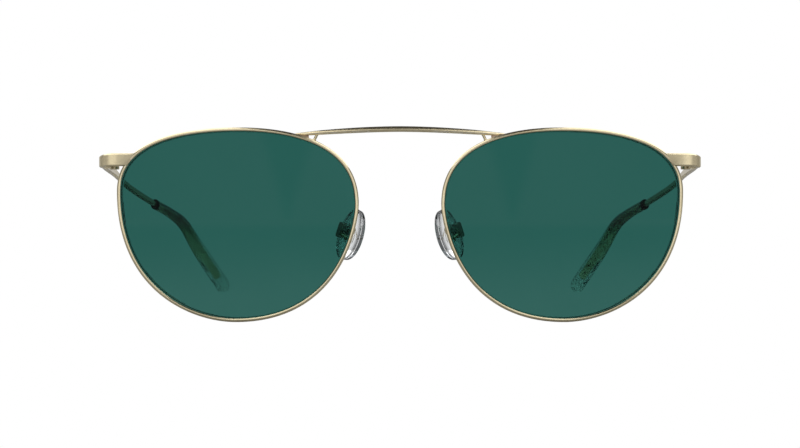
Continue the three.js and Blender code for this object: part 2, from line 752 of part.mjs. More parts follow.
function makePadBox(side) {
  const { open, depth, width, height, wall } = BOX;
  const cavity = boxBetween(
    [open - 1, -width / 2 + wall, -height / 2 + wall],
    [open + depth - wall, width / 2 - wall, height / 2 - wall],
  );
  const bore = post(PAD_SCREW_RADIUS + FIT, -3, 3, 16).rotateX(Math.PI / 2);
  const padScrew = namedMesh(`${side}_pad_screw`, screw(PAD_SCREW_RADIUS, width + 0.1, 0.46, 0.2), STEEL);
  padScrew.rotation.x = -Math.PI / 2;
  padScrew.position.y = width / 2 + FIT;
  return [namedMesh(`${side}_pad_box`, cut(padBoxSolid(0), cavity, bore), STEEL), padScrew];
}

const padPlacing = new THREE.Matrix4().makeRotationFromEuler(new THREE.Euler(0, -PAD_TILT, -PAD_SPLAY));
padPlacing.setPosition(PAD_SCREW);

// A goose-neck wire from the back of the rim to the side of the pad box that faces forward.
function padArmGeometry(seat) {
  const { x, z } = PAD_ARM_END;
  const sideOfBox = -BOX.width / 2;
  const besideBox = new THREE.Vector3(x, sideOfBox - 0.7, z).applyMatrix4(padPlacing);
  const insideBox = new THREE.Vector3(x, sideOfBox + 0.2, z).applyMatrix4(padPlacing);
  const neck = PAD_ARM_ROUTE.map((point) => new THREE.Vector3(...point));
  const route = [...neck, besideBox, insideBox];
  const boxSeat = padBoxSolid(FIT).applyMatrix4(padPlacing);
  return cut(wire(route, PAD_WIRE_RADIUS, 22), seat, boxSeat);
}

function makePadGroup(side) {
  const group = new THREE.Group();
  group.position.copy(PAD_SCREW);
  group.rotation.set(0, -PAD_TILT, -PAD_SPLAY);
  group.add(...makePadBox(side), ...makeNosePad(side));
  return group;
}

// ---------------------------------------------------------------- assembly

function makeSide(side) {
  const seat = rimSeatCutter();
  const group = new THREE.Group();
  group.add(
    namedMesh(`${side}_rim`, rimGeometry(), GOLD),
    namedMesh(`${side}_lens`, lensGeometry(), GREEN_LENS),
    namedMesh(`${side}_end_piece`, endPieceGeometry(seat), GOLD),
    namedMesh(`${side}_bridge_strut`, strutGeometry(seat), GOLD),
    namedMesh(`${side}_pad_arm`, padArmGeometry(seat), GOLD),
    ...makeRimLock(side, seat),
    ...makeHinge(side),
    ...makeTemple(side),
    makePadGroup(side),
  );
  return group;
}

function makeBridge() {
  const leftSeat = toSolid(rimSeatCutter());
  const bar = toSolid(bridgeGeometry(0)).subtract(leftSeat).subtract(leftSeat.mirror([1, 0, 0]));
  return namedMesh("bridge_bar", toGeometry(bar), GOLD);
}

const leftSide = makeSide("left");
const rightSide = makeSide("right");
rightSide.scale.x = -1;

const sunglasses = new THREE.Group();
sunglasses.add(leftSide, rightSide, makeBridge());

// The origin is the middle of the footprint, on the surface that the glasses stand on.
const extent = new THREE.Box3().setFromObject(sunglasses);
sunglasses.position.y = -(extent.min.y + extent.max.y) / 2;
sunglasses.position.z = -extent.min.z;

export default sunglasses;
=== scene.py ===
# Rounded pilot sunglasses in fine detail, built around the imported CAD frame.
#
# Shapes are drawn in millimetres in the drawing frame: +X is the wearer's left, +Y runs back
# towards the ears, +Z is up, and Y = 0 runs through the middle of the lens thickness at the
# lens centres. Each shape is drawn once, for the wearer's left, and mirrored for the right.
# finished_piece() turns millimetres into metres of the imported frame.
import json
import math
from functools import partial

import bmesh
import bpy
from mathutils import Matrix, Vector


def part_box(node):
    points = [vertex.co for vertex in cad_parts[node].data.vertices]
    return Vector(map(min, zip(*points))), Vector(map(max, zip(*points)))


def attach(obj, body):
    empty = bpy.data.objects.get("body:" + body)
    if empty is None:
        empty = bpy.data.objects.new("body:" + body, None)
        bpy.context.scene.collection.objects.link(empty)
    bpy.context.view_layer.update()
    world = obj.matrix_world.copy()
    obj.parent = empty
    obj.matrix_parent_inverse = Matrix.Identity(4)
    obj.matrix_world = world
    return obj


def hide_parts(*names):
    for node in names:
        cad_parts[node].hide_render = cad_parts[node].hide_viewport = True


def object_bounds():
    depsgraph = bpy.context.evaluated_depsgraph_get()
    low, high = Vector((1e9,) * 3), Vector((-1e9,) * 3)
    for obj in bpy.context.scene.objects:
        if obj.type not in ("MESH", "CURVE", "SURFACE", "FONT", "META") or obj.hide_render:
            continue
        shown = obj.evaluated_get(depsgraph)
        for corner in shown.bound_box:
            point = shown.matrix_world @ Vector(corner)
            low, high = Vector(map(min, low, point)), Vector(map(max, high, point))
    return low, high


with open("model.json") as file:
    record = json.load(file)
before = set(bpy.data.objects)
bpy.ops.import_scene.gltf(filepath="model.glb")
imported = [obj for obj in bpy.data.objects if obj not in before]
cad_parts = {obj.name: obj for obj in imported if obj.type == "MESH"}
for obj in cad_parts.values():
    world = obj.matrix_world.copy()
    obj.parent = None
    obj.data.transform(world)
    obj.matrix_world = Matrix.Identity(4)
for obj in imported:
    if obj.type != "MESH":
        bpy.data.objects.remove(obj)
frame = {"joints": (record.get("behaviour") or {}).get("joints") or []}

CAD_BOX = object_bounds()
MM = 0.001
SIDES = {"left": 1, "right": -1}

# ---------------------------------------------------------------- driving dimensions, in mm

OPENING = {  # the lens opening in the lens's own plane: corners, and how full the curve is there
    "temporal": {"u": 27.45, "v": 7.6, "up": 11.3, "down": 23},
    "top": {"u": -0.1, "v": 21.2, "out": 12, "in": 11.4},
    "nasal": {"u": -26.8, "v": 4.5, "up": 14, "down": 3.7},
    "bottom": {"u": 0.7, "v": -21.72, "out": 9.4, "in": 24.5},
}
LENS_RADIUS = 125
LENS_THICKNESS = 1.8
LENS_CENTRE_X = 37.4
LENS_CENTRE_Z = 22.6
WRAP = math.radians(4)
LENS_EDGE_ROUNDING = 0.08
RIM_WIDTH = 0.85
RIM_DEPTH = 1.9
RIM_CROWN = 0.2  # how far the front of the rim is domed
RIM_CROWN_POWER = 2.6
RIM_FRONT_INSET = 0.02
RIM_OUTER_CORNER = ((0, 0.2), (0.06, 0.06), (0.2, 0))  # how far in from the side and from the back
RIM_INNER_CORNER = ((0.14, 0), (0.04, 0.04), (0, 0.14))
GROOVE_DEPTH = 0.42
GROOVE_HALF = 0.4
RIM_SLIT = 0.1

BAR_THICKNESS = 1.1
BAR_HEIGHT = 3
BAR_CHAMFER = 0.32
BAR_Z = 37.35
BAR_FRONT_Y = 4.5
TEMPLE_X = 69.45
CORNER_RADIUS = 2.9
TEMPLE_FRONT_Y = 10.3
TEMPLE_HEIGHT = 2.8
END_PIECE_DROP = 0.5
END_PIECE_INSET = 0.35  # how much further back the end piece lies where it meets the rim
CORNER_LEAD = 1.2  # the straight stretch just before the corner

HINGE_X = 66.9
HINGE_Y = 11.2
HINGE_BOTTOM_Z = 35.05
KNUCKLE_RADIUS = 1.15
KNUCKLE_HEIGHTS = (0.85, 0.95, 0.85)
KNUCKLE_CHAMFER = 0.12
PLAY = 0.06
FIT = 0.03
LEAF_THICKNESS = 1.6
LEAF_LENGTH = 2.7
LEAF_INSET = 0.25  # how much the leaf falls short of the barrel at each end
NECK_OVERLAP = 0.3
NECK_INSET = 0.05
HINGE_SCREW_RADIUS = 0.55
HINGE_SCREW_HEAD = (0.9, 0.4)  # radius and height

TEMPLE_ROUTE = (
    (TEMPLE_X, TEMPLE_FRONT_Y, 36.8),
    (69.35, 30, 34.5),
    (68, 52, 30.5),
    (64.3, 75, 26.1),
    (61.3, 94, 22.85),
    (59.1, 108, 19.5),
    (56.1, 121, 12.3),
    (49.8, 136.8, 0.4),
)
TEMPLE_WIDTH = 1.15
WIRE_HEIGHT = 1.5
PADDLE_START = 3  # distances along the arm: it thins from here to the next
PADDLE_END = 34
MOUTH = 69.2  # and enters the tip here
CORE_RADIUS = 0.72
CORE_SHORT_OF_END = 7
TIP_RADIUS_FRONT = 1.3
TIP_RADIUS_END = 2.25
TIP_FLATNESS = 0.78
TIP_SWELL = (0.1, 0.85)  # the shares of the tip's length between which it swells
MOUTH_ROUNDING = 0.35
MOUTH_NARROWING = 0.12
COLLAR_LENGTH = 1.15
COLLAR_RADIUS = 1.35
COLLAR_FLATNESS = 0.85

BRIDGE_ROUTE = (  # x, y, z, half thickness
    (0, 0.9, 44.4, 0.66),
    (7, 1, 44.25, 0.65),
    (13, 1.2, 43.95, 0.61),
    (18.3, 1.4, 43.6, 0.52),
    (21.3, 1.5, 43.35, 0.42),
    (24.1, 1.54, 43.2, 0.24),
)
BRIDGE_DEPTH_RATIO = 1.25
STRUT_RADIUS = 0.33
STRUT_FLARE = 0.16
STRUT_FLARED = (0.25, 0.75)  # how far from its ends the flare starts and stops to thin out
STRUT_ENDS = ((18.85, 1.42, 43.7), (19.9, 1.52, 41.5))
SOLDER_SPAN = (21.0, 24.3)  # x of the solder between the bar and the rim
SOLDER_RUN_IN = 0.8  # how soon it is full, from SOLDER_THIN of its thickness where it starts
SOLDER_THIN = 0.45
SOLDER_WAIST = 0.28  # half its thickness in the middle, and how much more it has at both edges
SOLDER_FOOT = 0.2
SOLDER_SUNK = 0.2  # how far it reaches into the rim

PAD_SCREW = Vector((13.4, 7.6, 20.9))
PAD_SPLAY = math.radians(32)
PAD_TILT = math.radians(18)
PAD_LENGTH = 12.4
PAD_WIDTH = 8.4
PAD_CENTRE_DROP = 0.4
PAD_BACK = 1.3
PAD_THICKNESS = 3.1
PAD_TAPER = 0.1  # how much narrower its top is, as a share of its width
PAD_EDGE_RADIUS = 0.85
PAD_GROOVE = ((1.0, 0.995), (1.1, 0.96), (1.26, 0.955), (1.36, 0.98))  # height, share of the outline
PAD_CROWN_SHARES = (0.985, 0.96, 0.92, 0.86, 0.78, 0.66, 0.5, 0.32, 0.15, 0.03)
BOX = {"open": -0.45, "depth": 1.45, "width": 1.8, "height": 3.6, "wall": 0.28}
BOX_CORNER_RADIUS = 0.6
CAVITY_CORNER_RADIUS = 0.35
PAD_SCREW_RADIUS = 0.3
PAD_SCREW_HEAD = (0.46, 0.2)
PAD_BOSS = {"end": 0.58, "half_width": 0.54, "half_height": 0.75, "sunk": 1.2}
PAD_PLATE = {"half_width": 1.3, "bottom": -2.4, "top": 2, "front": 1.5, "back": 0.9, "corner": 0.9}
PAD_WIRE_RADIUS = 0.45
PAD_WIRE_FLARE = 0.14
PAD_WIRE_FLARED = (0.1, 0.7)
PAD_ARM_ROUTE = ((10.6, 1.2, 22.6), (10.75, 3, 22.3), (10.9, 4.5, 20.6), (12.3, 5.1, 19.2))
PAD_ARM_END = (0.3, -1)  # x and z in the pad frame, on the side of the box that faces forward
PAD_ARM_BESIDE = 0.7  # how far it runs straight towards that side
PAD_ARM_INSIDE = 0.2  # and how far into it

LOCK = {"x": 64.3, "y": 6.35, "width": 2.3, "depth": 2.1, "height": 0.82, "lower_extra": 0.3}
LOCK_SCREW_RADIUS = 0.4
LOCK_SCREW_HEAD = (0.72, 0.35)

BORE_PAST = 1  # how far a cutting tool runs past what it cuts
PAD_BORE_REACH = 3

# The left hinge's axis is known in both frames, so it gives the shift between them.
left_hinge = next(joint for joint in frame["joints"] if joint["name"] == "left_temple_fold")
HINGE_TOP_Z = HINGE_BOTTOM_Z + sum(KNUCKLE_HEIGHTS) + 2 * PLAY
hinge_drawn = Vector((HINGE_X, HINGE_Y, (HINGE_BOTTOM_Z + HINGE_TOP_Z) / 2)) * MM
SHIFT = Vector(left_hinge["pos_m"]) - hinge_drawn

# ---------------------------------------------------------------- mesh helpers

MERGE_DISTANCE = 1e-4
BEVEL_SEGMENTS = 3
BEVEL_FROM = math.radians(35)
UPWARDS = Vector((0, 0, 1))


def spaced(start, end, count):
    """count numbers from start to end."""
    return [start + (end - start) * i / (count - 1) for i in range(count)]


def smoothstep(value, low, high):
    t = min(max((value - low) / (high - low), 0), 1)
    return t * t * (3 - 2 * t)


def blended(start, end, share):
    return start + (end - start) * share


def loft(rings):
    """A closed mesh through rings of equal length, in mm, capped at both ends."""
    mesh = bmesh.new()
    layers = [[mesh.verts.new(point) for point in ring] for ring in rings]
    for near, far in zip(layers, layers[1:]):
        for i in range(len(near)):
            j = (i + 1) % len(near)
            mesh.faces.new((near[i], far[i], far[j], near[j]))
    mesh.faces.new(layers[0])
    mesh.faces.new(layers[-1])
    bmesh.ops.recalc_face_normals(mesh, faces=mesh.faces)
    return mesh


def box_between(low, high):
    corners = ((low[0], low[1]), (high[0], low[1]), (high[0], high[1]), (low[0], high[1]))
    return loft([[Vector((x, y, z)) for x, y in corners] for z in (low[2], high[2])])


def lathe(profile, sides=40):
    """A solid turned about Z from (radius, height) pairs that start and end off the axis."""
    rings = []
    for radius, height in profile:
        angles = [2 * math.pi * i / sides for i in range(sides)]
        rings.append([Vector((radius * math.cos(a), radius * math.sin(a), height)) for a in angles])
    return loft(rings)


def post(radius, low, high, chamfer=0.0):
    """An upright cylinder, with chamfered ends if asked."""
    if not chamfer:
        return lathe([(radius, low), (radius, high)])
    inner = radius - chamfer
    return lathe([(inner, low), (radius, low + chamfer), (radius, high - chamfer), (inner, high)])


def moved(mesh, matrix):
    bmesh.ops.transform(mesh, matrix=matrix, verts=mesh.verts)
    return mesh


def mesh_object(mesh, name):
    data = bpy.data.meshes.new(name)
    mesh.to_mesh(data)
    mesh.free()
    made = bpy.data.objects.new(name, data)
    bpy.context.scene.collection.objects.link(made)
    return made


def combined(body, others, operation):
    """body joined with the others (UNION) or cut by them (DIFFERENCE); all of them are used up."""
    target = mesh_object(body, "boolean_body")
    tools = [mesh_object(other, "boolean_tool") for other in others]
    for tool in tools:
        modifier = target.modifiers.new("cut", "BOOLEAN")
        modifier.operation = operation
        modifier.solver = "EXACT"
        modifier.object = tool
    evaluated = target.evaluated_get(bpy.context.evaluated_depsgraph_get())
    result = bmesh.new()
    result.from_mesh(evaluated.to_mesh())
    evaluated.to_mesh_clear()
    for used in (target, *tools):
        data = used.data
        bpy.data.objects.remove(used)
        bpy.data.meshes.remove(data)
    bmesh.ops.remove_doubles(result, verts=result.verts, dist=MERGE_DISTANCE)
    return result


def finished_piece(name, mesh, material, side, body, node=None, slot="gold_metal", edge=0.0, sharp=38):
    """A piece of the object from a mesh drawn in mm for the wearer's left.

    edge rounds its sharp edges by that many mm, and sharp is the angle in degrees from which
    an edge that is left shows as one.
    """
    mirror = Matrix.Diagonal((SIDES.get(side, 1), 1, 1, 1))
    into_frame = Matrix.Translation(SHIFT) @ Matrix.Scale(MM, 4) @ mirror
    moved(mesh, into_frame)
    bmesh.ops.recalc_face_normals(mesh, faces=mesh.faces)
    piece = mesh_object(mesh, name)
    piece.data.shade_smooth()
    piece.data.set_sharp_from_angle(angle=math.radians(sharp))
    piece.data.materials.append(material)
    if edge:
        bevel = piece.modifiers.new("rounded_edges", "BEVEL")
        bevel.width = edge * MM
        bevel.segments = BEVEL_SEGMENTS
        bevel.limit_method = "ANGLE"
        bevel.angle_limit = BEVEL_FROM
        bevel.harden_normals = True
    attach(piece, body)
    if node:
        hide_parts(node)


def stand_in(side, body, node, mesh, material, **options):
    """The fine piece that is shown in place of a CAD node."""
    name = f"{side}_{node}"
    finished_piece(f"{name}_fine", mesh, material, side, body, name, **options)


def ellipse(half_width, half_height, sides):
    angles = [2 * math.pi * (i + 0.5) / sides for i in range(sides)]
    return [(half_width * math.cos(a), half_height * math.sin(a)) for a in angles]


def chamfered_rectangle(width, height, chamfer):
    x = width / 2
    y = height / 2
    return [
        (x, -y + chamfer),
        (x, y - chamfer),
        (x - chamfer, y),
        (-x + chamfer, y),
        (-x, y - chamfer),
        (-x, -y + chamfer),
        (-x + chamfer, -y),
        (x - chamfer, -y),
    ]


def placed(section, point, sideways, upwards):
    """A flat section as a ring of points in space."""
    return [point + sideways * a + upwards * b for a, b in section]


# ---------------------------------------------------------------- routes

SPREAD = 0.05  # over how much length a direction is averaged, in mm
TEMPLE_SPREAD = 0.3


def smooth_route(points, steps=60):
    """Points on the centripetal Catmull-Rom curve through the given ones."""
    known = [Vector(point) for point in points]
    known.insert(0, known[0] * 2 - known[1])
    known.append(known[-1] * 2 - known[-2])
    route = []
    for a, b, c, d in zip(known, known[1:], known[2:], known[3:]):
        before, span, after = (math.sqrt((q - p).length) for p, q in ((a, b), (b, c), (c, d)))
        leaving = ((b - a) / before - (c - a) / (before + span) + (c - b) / span) * span
        arriving = ((c - b) / span - (d - b) / (span + after) + (d - c) / after) * span
        for step in range(steps):
            t = step / steps
            bend = (2 * b - 2 * c + leaving + arriving) * t**3
            swing = (3 * c - 3 * b - 2 * leaving - arriving) * t**2
            route.append(b + leaving * t + swing + bend)
    route.append(known[-2])
    return route


class Route:
    """A polyline that can be asked for the point and the direction at a distance along it."""

    def __init__(self, points):
        self.points = points
        self.marks = [0.0]
        for a, b in zip(points, points[1:]):
            self.marks.append(self.marks[-1] + (b - a).length)
        self.length = self.marks[-1]

    def at(self, distance):
        reach = min(max(distance, 0), self.length)
        i = next((k for k in range(1, len(self.marks)) if self.marks[k] >= reach), len(self.marks) - 1)
        a, b = self.points[i - 1], self.points[i]
        along = (b - a).normalized()
        return a + along * (distance - self.marks[i - 1]), along

    def smooth_at(self, distance, spread):
        """As at(), with the direction averaged over spread on both sides."""
        point, _ = self.at(distance)
        before, _ = self.at(max(distance - spread, 0))
        after, _ = self.at(min(distance + spread, self.length))
        return point, (after - before).normalized()


def tube(route, distances, section_at):
    """A loft along a route with sections that turn with it as little as they can."""
    _, along = route.at(0)
    nearly_upright = abs(along.z) >= 0.9
    helper = Vector((1, 0, 0)) if nearly_upright else UPWARDS
    sideways = along.cross(helper).normalized()
    rings = []
    for distance in distances:
        point, along = route.smooth_at(distance, SPREAD)
        sideways = (sideways - along * sideways.dot(along)).normalized()
        rings.append(placed(section_at(distance), point, sideways, sideways.cross(along)))
    return loft(rings)


# ---------------------------------------------------------------- materials


LENS_TOP = (0.021, 0.108, 0.090)
LENS_BOTTOM = (0.034, 0.126, 0.107)
LENS_DEEP = (0.016, 0.092, 0.077)
LENS_DRIFT = 0.12
LENS_IOR = 1.15  # a coated lens reflects less than its glass would
COLLAR_DARK = (0.003, 0.0035, 0.004)
COLLAR_PALE = (0.008, 0.0085, 0.01)
SEEN_INSIDE = 0.85  # how much of the white surroundings a reflection inside something clear shows

PATTERN = {  # how fine each pattern is, in cycles per metre
    "tone": 130,
    "wear": 700,
    "satin": 1800,
    "plating_grain": 7000,
    "lens_drift": 60,
    "dust": 900,
    "cloud": 350,
    "polish": 1500,
    "ripple": 250,
    "rubber_grain": 3000,
}
NOISE_MIDDLE = (0.3, 0.7)  # where most of a noise's values lie
TONE_RANGE = (0.35, 0.65)
WEAR_RANGE = (0.4, 0.6)
DUST_RANGE = (0.45, 0.8)
WORN_EDGES = (0.52, 0.62)  # the Pointiness from which, and at which, an edge is rubbed
PAINTED_SHADE_FACING = (0.6, 0.95)  # the range of Facing over which the outline turns deep: painted shade for the dark lines of refraction


class Nodes:
    """Short ways to add and link the nodes of one material or world."""

    def __init__(self, tree):
        self.tree = tree

    def add(self, kind, **settings):
        node = self.tree.nodes.new(kind)
        for key, value in settings.items():
            setattr(node, key, value)
        return node

    def link(self, source, target):
        self.tree.links.new(source, target)

    def feed(self, value, socket):
        """Set a number or a colour on a socket, or link another socket to it."""
        if isinstance(value, tuple):
            socket.default_value = (*value, 1)
        elif isinstance(value, (int, float)):
            socket.default_value = value
        else:
            self.link(value, socket)

    def noise(self, where, pattern, detail=4.0, roughness=0.55):
        node = self.add("ShaderNodeTexNoise")
        node.inputs["Scale"].default_value = PATTERN[pattern]
        node.inputs["Detail"].default_value = detail
        node.inputs["Roughness"].default_value = roughness
        self.link(where, node.inputs["Vector"])
        return node.outputs["Fac"]

    def ranged(self, value, low, high, new_low, new_high):
        node = self.add("ShaderNodeMapRange", interpolation_type="SMOOTHSTEP")
        limits = {"From Min": low, "From Max": high, "To Min": new_low, "To Max": new_high}
        for name, number in limits.items():
            node.inputs[name].default_value = number
        self.link(value, node.inputs["Value"])
        return node.outputs["Result"]

    def mixed(self, share, first, second):
        """A colour between first and second, each a socket or three numbers."""
        node = self.add("ShaderNodeMix", data_type="RGBA")
        self.link(share, node.inputs[0])
        self.feed(first, node.inputs[6])
        self.feed(second, node.inputs[7])
        return node.outputs[2]

    def maths(self, operation, *values):
        node = self.add("ShaderNodeMath", operation=operation)
        for value, socket in zip(values, node.inputs):
            self.feed(value, socket)
        return node.outputs[0]

    def split(self, vector):
        """The X, Y and Z of a vector."""
        node = self.add("ShaderNodeSeparateXYZ")
        self.link(vector, node.inputs[0])
        return node.outputs

    def pointiness(self):
        return self.add("ShaderNodeNewGeometry").outputs["Pointiness"]

    def looked_at(self):
        """1 for what the camera sees, straight on or through something clear, and 0 for reflections.

        What is reflected inside something clear counts in part.
        """
        path = self.add("ShaderNodeLightPath").outputs
        unreflected = self.ranged(path["Glossy Depth"], 0, 1, 1, SEEN_INSIDE)
        seen_through = self.maths("MULTIPLY", path["Is Transmission Ray"], unreflected)
        return self.maths("MAXIMUM", path["Is Camera Ray"], seen_through)

    def glow(self, strength):
        node = self.add("ShaderNodeEmission")
        self.feed(strength, node.inputs["Strength"])
        return node.outputs[0]

    def blend(self, share, first, second):
        """A shader between two others."""
        node = self.add("ShaderNodeMixShader")
        for source, socket in zip((share, first, second), node.inputs):
            self.link(source, socket)
        return node.outputs[0]

    def bump(self, height, strength, distance):
        node = self.add("ShaderNodeBump")
        node.inputs["Strength"].default_value = strength
        node.inputs["Distance"].default_value = distance
        self.link(height, node.inputs["Height"])
        return node.outputs["Normal"]


def principled(name, **constants):
    """A material with the given constant sockets: (material, Nodes, shader's sockets, coordinates)."""
    material = bpy.data.materials.new(name)
    material.use_nodes = True
    nodes = Nodes(material.node_tree)
    sockets = material.node_tree.nodes["Principled BSDF"].inputs
    for key, value in constants.items():
        sockets[key.replace("_", " ")].default_value = value
    where = nodes.add("ShaderNodeTexCoord").outputs["Object"]
    return material, nodes, sockets, where


def plated_metal(name, pale, deep, worn, roughness):
    """Satin plating: drifting tone, fine grain, and edges rubbed paler."""
    material, nodes, sockets, where = principled(name, Metallic=1.0)
    drift = nodes.ranged(nodes.noise(where, "tone"), *TONE_RANGE, 0, 1)
    tone = nodes.mixed(drift, deep, pale)
    patches = nodes.ranged(nodes.noise(where, "wear"), *WEAR_RANGE, 0.2, 1)
    edges = nodes.ranged(nodes.pointiness(), *WORN_EDGES, 0, 1)
    rubbed = nodes.maths("MULTIPLY", edges, patches)
    nodes.link(nodes.mixed(rubbed, tone, worn), sockets["Base Color"])
    satin = nodes.noise(where, "satin", detail=6, roughness=0.65)
    nodes.link(nodes.ranged(satin, *NOISE_MIDDLE, *roughness), sockets["Roughness"])
    grain = nodes.noise(where, "plating_grain", detail=3)
    nodes.link(nodes.bump(grain, strength=0.04, distance=0.00002), sockets["Normal"])
    return material


def tinted_lens():
    """Clear green tint, a little paler towards the bottom, with the faintest haze of dust."""
    material, nodes, sockets, where = principled("green_lens", Transmission_Weight=1.0, IOR=LENS_IOR)
    low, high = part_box("left_lens")
    height = nodes.ranged(nodes.split(where)["Z"], low.z, (low.z + high.z) / 2, 0, 1)
    gradient = nodes.mixed(height, LENS_BOTTOM, LENS_TOP)
    drift = nodes.ranged(nodes.noise(where, "lens_drift", detail=2), *NOISE_MIDDLE, 0, LENS_DRIFT)
    nodes.link(nodes.mixed(drift, gradient, LENS_DEEP), sockets["Base Color"])
    haze = nodes.noise(where, "dust", detail=5, roughness=0.7)
    nodes.link(nodes.ranged(haze, *DUST_RANGE, 0.0, 0.03), sockets["Roughness"])
    return material


def clear_plastic(name, clear, cloudy, deep, ior, roughness, edges):
    """A colourless moulding whose tint and polish drift a little, with painted shade along its outline,
    a deep colour standing in for the dark lines that refraction draws.

    edges is the range of Pointiness over which its rounded edges take that painted shade as well.
    """
    material, nodes, sockets, where = principled(name, Transmission_Weight=1.0, IOR=ior)
    cloud = nodes.ranged(nodes.noise(where, "cloud"), *NOISE_MIDDLE, 0, 1)
    # Painted shade: where the moulding is seen side on, and along its rounded edges, its colour turns
    # deep, standing in for the dark lines that refraction draws.
    facing = nodes.add("ShaderNodeLayerWeight").outputs["Facing"]
    painted_side_shade = nodes.ranged(facing, *PAINTED_SHADE_FACING, 0, 1)
    rounded = nodes.ranged(nodes.pointiness(), *edges, 0, 1)
    outline = nodes.maths("MAXIMUM", painted_side_shade, rounded)
    tint = nodes.mixed(outline, nodes.mixed(cloud, clear, cloudy), deep)
    nodes.link(tint, sockets["Base Color"])
    polish = nodes.noise(where, "polish", detail=5, roughness=0.6)
    nodes.link(nodes.ranged(polish, *NOISE_MIDDLE, *roughness), sockets["Roughness"])
    ripple = nodes.noise(where, "ripple", detail=1)
    nodes.link(nodes.bump(ripple, strength=0.015, distance=0.00004), sockets["Normal"])
    return material


def dark_rubber():
    """The near-black sleeve in front of each temple tip."""
    material, nodes, sockets, where = principled("dark_collar")
    grain = nodes.noise(where, "rubber_grain", detail=5)
    shade = nodes.ranged(grain, *NOISE_MIDDLE, 0, 1)
    nodes.link(nodes.mixed(shade, COLLAR_DARK, COLLAR_PALE), sockets["Base Color"])
    nodes.link(nodes.ranged(grain, *NOISE_MIDDLE, 0.38, 0.6), sockets["Roughness"])
    nodes.link(nodes.bump(grain, strength=0.3, distance=0.00003), sockets["Normal"])
    return material


GOLD = plated_metal(
    "champagne_gold",
    pale=(0.80, 0.70, 0.47),
    deep=(0.73, 0.63, 0.41),
    worn=(0.88, 0.82, 0.66),
    roughness=(0.12, 0.2),
)
STEEL = plated_metal(
    "screw_steel",
    pale=(0.60, 0.57, 0.50),
    deep=(0.45, 0.43, 0.38),
    worn=(0.78, 0.76, 0.72),
    roughness=(0.22, 0.4),
)
# A darker copy of the champagne gold: painted shade for the hinge in the shadow of the end piece; the
# real hinge is plated like the rest.
HINGE_GOLD_PAINTED_SHADE = plated_metal(
    "hinge_gold_painted_shade",
    pale=(0.52, 0.46, 0.31),
    deep=(0.44, 0.38, 0.25),
    worn=(0.70, 0.63, 0.46),
    roughness=(0.24, 0.36),
)
SOLDER = plated_metal(
    "brazing",
    pale=(0.50, 0.38, 0.27),
    deep=(0.36, 0.26, 0.18),
    worn=(0.66, 0.54, 0.40),
    roughness=(0.35, 0.55),
)
LENS = tinted_lens()
SILICONE = clear_plastic(
    "clear_silicone",
    clear=(0.93, 0.94, 0.94),
    cloudy=(0.86, 0.88, 0.89),
    # deep and edges: the painted shade along the pad's outline and rounded edges, standing in for the
    # dark lines of refraction
    deep=(0.03, 0.035, 0.04),
    ior=1.42,
    roughness=(0.0, 0.02),
    edges=(0.508, 0.548),
)
ACETATE = clear_plastic(
    "clear_acetate",
    clear=(0.88, 0.92, 0.89),
    cloudy=(0.78, 0.84, 0.81),
    # deep and edges: the painted shade along the tip's outline and rounded edges, standing in for the
    # dark lines of refraction
    deep=(0.05, 0.07, 0.06),
    ior=1.48,
    roughness=(0.0, 0.03),
    edges=(0.8, 0.9),
)
RUBBER = dark_rubber()

# ---------------------------------------------------------------- lens and rim


def bezier(a, b, c, d, t):
    s = 1 - t
    return a * s**3 + b * 3 * s**2 * t + c * 3 * s * t**2 + d * t**3


def opening_outline(steps=250):
    """Points of the lens opening from the temporal corner over the top and round to it again."""
    temporal, top, nasal, bottom = (OPENING[key] for key in ("temporal", "top", "nasal", "bottom"))
    corners = [Vector((corner["u"], corner["v"])) for corner in (temporal, top, nasal, bottom)]
    handles = [
        ((0, temporal["up"]), (top["out"], 0)),
        ((-top["in"], 0), (0, nasal["up"])),
        ((0, -nasal["down"]), (-bottom["in"], 0)),
        ((bottom["out"], 0), (0, -temporal["down"])),
    ]
    points = []
    for i, (leaving, arriving) in enumerate(handles):
        start, end = corners[i], corners[(i + 1) % 4]
        first, second = start + Vector(leaving), end + Vector(arriving)
        points += [bezier(start, first, second, end, step / steps) for step in range(steps)]
    return [Vector((*point, 0)) for point in [*points, points[0]]]


OUTLINE = Route(opening_outline())


def slit_distance():
    """How far along the outline the rim is slit: where it first reaches the end piece's height."""
    height = BAR_Z - LENS_CENTRE_Z
    return next(mark for mark, point in zip(OUTLINE.marks, OUTLINE.points) if point.y >= height)


def outline_stations(count):
    """(point, direction square to the outline and away from the lens) from side to side of the slit."""
    start = slit_distance() + RIM_SLIT / 2
    stations = []
    for distance in spaced(start, start + OUTLINE.length - RIM_SLIT, count):
        point, along = OUTLINE.smooth_at(distance % OUTLINE.length, SPREAD)
        stations.append((point, Vector((along.y, -along.x, 0))))
    return stations


def on_lens_curve(u, v, depth):
    """The point of the lens curve at (u, v), moved by depth towards the face."""
    drop = math.sqrt(LENS_RADIUS**2 - u**2 - v**2)
    towards_face = Vector((-u, drop, -v)) / LENS_RADIUS
    point = Vector((u, LENS_RADIUS - drop, v)) + towards_face * depth
    placing = Matrix.Translation((LENS_CENTRE_X, 0, LENS_CENTRE_Z)) @ Matrix.Rotation(WRAP, 4, "Z")
    return placing @ point


def rim_point(station, out, depth):
    point, outwards = station
    return on_lens_curve(point.x + out * outwards.x, point.y + out * outwards.y, depth)


def rim_section():
    """(distance outwards, depth) round the rim: a crowned front, a flat back and the groove."""
    half = RIM_DEPTH / 2
    crown = []
    for share in spaced(0, 1, 11):
        fall = RIM_CROWN * abs(2 * share - 1) ** RIM_CROWN_POWER
        crown.append((blended(RIM_FRONT_INSET, RIM_WIDTH, share), -half + fall))
    back = [(RIM_WIDTH - side, half - behind) for side, behind in RIM_OUTER_CORNER]
    back += [(side, half - behind) for side, behind in RIM_INNER_CORNER]
    groove = [(0, GROOVE_HALF), (GROOVE_DEPTH, 0), (0, -GROOVE_HALF)]
    return crown + back + groove


RIM_STATIONS = outline_stations(241)


def rim():
    section = rim_section()
    return loft([[rim_point(station, *pair) for pair in section] for station in RIM_STATIONS])


